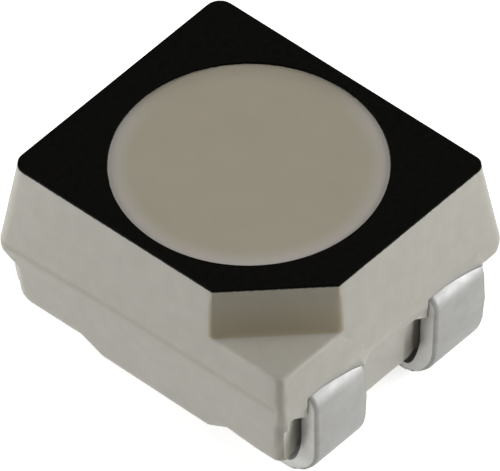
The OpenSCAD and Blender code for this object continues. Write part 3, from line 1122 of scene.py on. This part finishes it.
def fit_edges(strip, sheared_side):
    """Sets the upright part's inside back, swells its long edge and squares the sheared edge at the foot."""

    def at_upright_inside(point):
        return abs(point.co.z - UPPER_BEND_Z) < NEAR and 1.5 < point.co.x < LEAD_OUT - LEAD_T + NEAR

    def on_sheared_foot(point):
        outside_bend = point.co.x > LOWER_BEND_X - NEAR and lower_bend_radius(point) > HEEL_OUTSIDE_R
        on_side = (point.co.y - LEAD_Y) * sheared_side > LEAD_W / 4
        return on_side and (outside_bend or point.co.z < FOOT_T / 2)

    pick(strip, "VERT", at_upright_inside)
    slide(-BACK_SET, 0, 0)
    slice_at(strip, (0, 0, SWELL_Z), (0, 0, 1))
    for low, high, share in SWELL_SHARES:
        pick(
            strip, "VERT",
            lambda point: low < point.co.z < high and (point.co.y - LEAD_Y) * sheared_side < -LEAD_W / 4,
        )
        slide(0, -sheared_side * EDGE_SWELL * share, 0)
    for level, share in FOOT_EDGE_SHARES:
        pick(strip, "VERT", lambda point: point.co.z < level and on_sheared_foot(point))
        slide(0, sheared_side * SHEAR_TAPER * share, 0)
    bpy.ops.object.mode_set(mode="OBJECT")


def end_face(x):
    """A test for the upright end face of a strip at one place along X."""
    return lambda face: (
        abs(face.normal.x) > 0.99 and abs(middle(face).x - x) < NEAR and middle(face).z > FRAME_Z
    )


def face_across_cup(face):
    """A test for the strip's side face that looks across the cup, over the cup's middle line."""
    return face.normal.y < -0.99 and abs(middle(face).x) < NEAR and middle(face).z > FRAME_Z


def place_end(old_low, old_high, new_low, new_high):
    """Widens and shifts the picked end across the strip."""
    share = (new_high - new_low) / (old_high - old_low)
    stretch(1, share, 1)
    slide(0, (new_high + new_low) / 2 - (old_high + old_low) / 2 * share, 0)


def contact_lead(name, low_y, bend_h=LOWER_BEND_R):
    """A lead that ends in a plain pad in the cup."""
    strip = bent_strip(bend_h)
    strip.name = name
    neck_share = (PAD_ROOT_X - PAD_NECK_X) / (PAD_ROOT_X - PAD_X)
    neck_high = LEAD_HIGH_Y + (PAD_TOP_Y - LEAD_HIGH_Y) * neck_share
    pick(strip, "FACE", end_face(PAD_ROOT_X))
    pull(PAD_NECK_X - PAD_ROOT_X, 0, 0)
    place_end(LEAD_LOW_Y, LEAD_HIGH_Y, low_y, neck_high)
    pull(PAD_X - PAD_NECK_X, 0, 0)
    place_end(low_y, neck_high, low_y, PAD_TOP_Y)
    bpy.ops.object.mode_set(mode="OBJECT")
    return strip


def common_lead(name):
    """The lead whose strip carries the chips down the middle of the cup."""
    strip = bent_strip(sheared_side=1)
    strip.name = name
    pick(strip, "FACE", end_face(PAD_ROOT_X))
    pull(STRIP_HALF_L - PAD_ROOT_X, 0, 0)
    place_end(LEAD_LOW_Y, LEAD_HIGH_Y, LEAD_LOW_Y, LEAD_LOW_Y + BRIDGE_W)
    pull(-2 * STRIP_HALF_L, 0, 0)
    pick(strip, "FACE", face_across_cup)
    pull(0, -STRIP_HALF_W - LEAD_LOW_Y, 0)
    bpy.ops.object.mode_set(mode="OBJECT")
    return strip


def leaning_red_strip():
    """The red lead's strip, which leans a little towards the other near lead on its way down."""
    strip = contact_lead("red_strip", RED_PAD_LOW_Y, RED_LOWER_BEND_H)
    for level, share in RED_LEAN_SHARES:
        pick(strip, "VERT", lambda point: point.co.z < level)
        slide(0, -RED_LEAN * share, 0)
    bpy.ops.object.mode_set(mode="OBJECT")
    return strip


# The tins of the strip's edges, by how far their faces turn to the side: the rolled edges darker as painted
# shade, the burnished sheared sides lighter as painted light
EDGE_TINS = ((shaded_rolled_tin, 0.2, 0.93), (burnished_lit_tin, 0.93, 2.0))

for node_name, strip, side_x, side_y in (
    ("red_lead", leaning_red_strip(), 1, 1),
    ("anode_lead", common_lead("anode_strip"), 1, -1),
    ("green_lead", contact_lead("green_strip", FAR_PAD_LOW_Y), -1, 1),
    ("blue_lead", contact_lead("blue_strip", FAR_PAD_LOW_Y), -1, -1),
):
    mirrored(strip, side_x, side_y)
    soften(
        strip,
        lambda edge: len(edge.link_faces) == 2 and edge.calc_face_angle() > STRIP_ANGLE,
        EDGE_BREAK, 2,
    )
    hand_over(strip, node_name, tin)
    for index, (edge_tin, low, high) in enumerate(EDGE_TINS, 1):
        strip.data.materials.append(edge_tin)
        strip.active_material_index = index
        pick(strip, "FACE", lambda face: low < abs(face.normal.y) < high)
        bpy.ops.object.material_slot_assign()
    bpy.ops.object.mode_set(mode="OBJECT")


# The camera stands where the photograph's did

AZIMUTH = math.radians(41.838)
ELEVATION = math.radians(45.922)
ROLL = math.radians(-0.528)
DISTANCE = 185.0
PX_PER_MM = 118.063
AIM_RIGHT = 0.00398
AIM_UP = 0.00945
SENSOR = 36.0
PICTURE_W = 500
MIDDLE = Vector((0, 0, 1.0))


def photo_camera():
    """Looks at the package's middle with the photograph's turn, tilt, roll and scale."""
    right = Vector((math.cos(AZIMUTH), math.sin(AZIMUTH), 0))
    back = Vector((
        math.sin(AZIMUTH) * math.cos(ELEVATION),
        -math.cos(AZIMUTH) * math.cos(ELEVATION),
        math.sin(ELEVATION),
    ))
    up = back.cross(right)
    rolled_right = right * math.cos(ROLL) + up * math.sin(ROLL)
    rolled_up = up * math.cos(ROLL) - right * math.sin(ROLL)
    target = MIDDLE + rolled_right * AIM_RIGHT + rolled_up * AIM_UP
    data = bpy.data.cameras.new("photo_camera")
    camera = bpy.data.objects.new("photo_camera", data)
    bpy.context.collection.objects.link(camera)
    axes = Matrix((rolled_right, rolled_up, back)).transposed().to_4x4()
    camera.matrix_world = Matrix.Translation((target + back * DISTANCE) * MM) @ axes
    data.sensor_width = SENSOR
    data.lens = SENSOR * DISTANCE * PX_PER_MM / PICTURE_W
    data.clip_start = 0.001
    data.clip_end = 10.0
    bpy.context.scene.camera = camera


photo_camera()


# Light

BOX_DISTANCE = 40
BOX_SIZE = 28
FLOOR_SIZE = 400


def soft_box(name, direction, power, colour=(1, 1, 1)):
    """A square studio light that faces the middle of the package."""
    data = bpy.data.lights.new(name, "AREA")
    data.shape = "SQUARE"
    data.size = BOX_SIZE * MM
    data.energy = power
    data.color = colour
    light = bpy.data.objects.new(name, data)
    bpy.context.collection.objects.link(light)
    way = Vector(direction).normalized()
    light.location = (MIDDLE + way * BOX_DISTANCE) * MM
    light.rotation_euler = way.to_track_quat("Z", "Y").to_euler()
    light.visible_camera = False


# The two low boxes stand beside the camera's line, so the cut corner between them stays in half shade
soft_box("right_box", (0.75, 0.62, 0.2), 0.0168)
soft_box("left_box", (-0.75, -0.65, 0.15), 0.0175)
soft_box("top_box", (0, 0, 1), 0.0036, (1.0, 0.92, 0.80))


def studio_world():
    """White where the camera, a gloss or a clear body sees it, and a dim even sky for the rest."""
    world = bpy.data.worlds.new("studio")
    world.use_nodes = True
    tree = world.node_tree
    tree.nodes.clear()
    seen = seen_by(tree, "Is Glossy Ray", "Is Transmission Ray")
    sky = add_node(tree, "ShaderNodeBackground", {"Color": (1, 1, 1, 1), "Strength": 0.03})
    white = add_node(tree, "ShaderNodeBackground", {"Color": (1, 1, 1, 1), "Strength": 1.0})
    mixed = mixed_shader(tree, seen, sky.outputs[0], white.outputs[0])
    output = add_node(tree, "ShaderNodeOutputWorld", {})
    tree.links.new(mixed, output.inputs["Surface"])
    bpy.context.scene.world = world


studio_world()


def studio_floor():
    """A plain white floor that keeps the object's shadow and is clear from below."""
    bpy.ops.object.select_all(action="DESELECT")
    bpy.ops.mesh.primitive_plane_add(size=FLOOR_SIZE * MM)
    floor = bpy.context.object
    floor.name = "studio_floor"
    material, tree, output = new_material("white_paper")
    paper = add_node(tree, "ShaderNodeBsdfDiffuse", {"Color": linear("E6E6E4")}).outputs[0]
    glow = add_node(tree, "ShaderNodeEmission", {"Color": (1, 1, 1, 1), "Strength": 0.75}).outputs[0]
    lit_paper = add_node(tree, "ShaderNodeAddShader", {}, _0=paper, _1=glow).outputs[0]
    clear = add_node(tree, "ShaderNodeBsdfTransparent", {}).outputs[0]
    from_below = add_node(tree, "ShaderNodeNewGeometry", {}).outputs["Backfacing"]
    from_above = mixed_shader(tree, seen_by(tree, "Is Glossy Ray"), paper, lit_paper)
    finish_material(tree, output, mixed_shader(tree, from_below, from_above, clear))
    floor.data.materials.append(material)


studio_floor()

bpy.context.scene.view_settings.view_transform = "Standard"
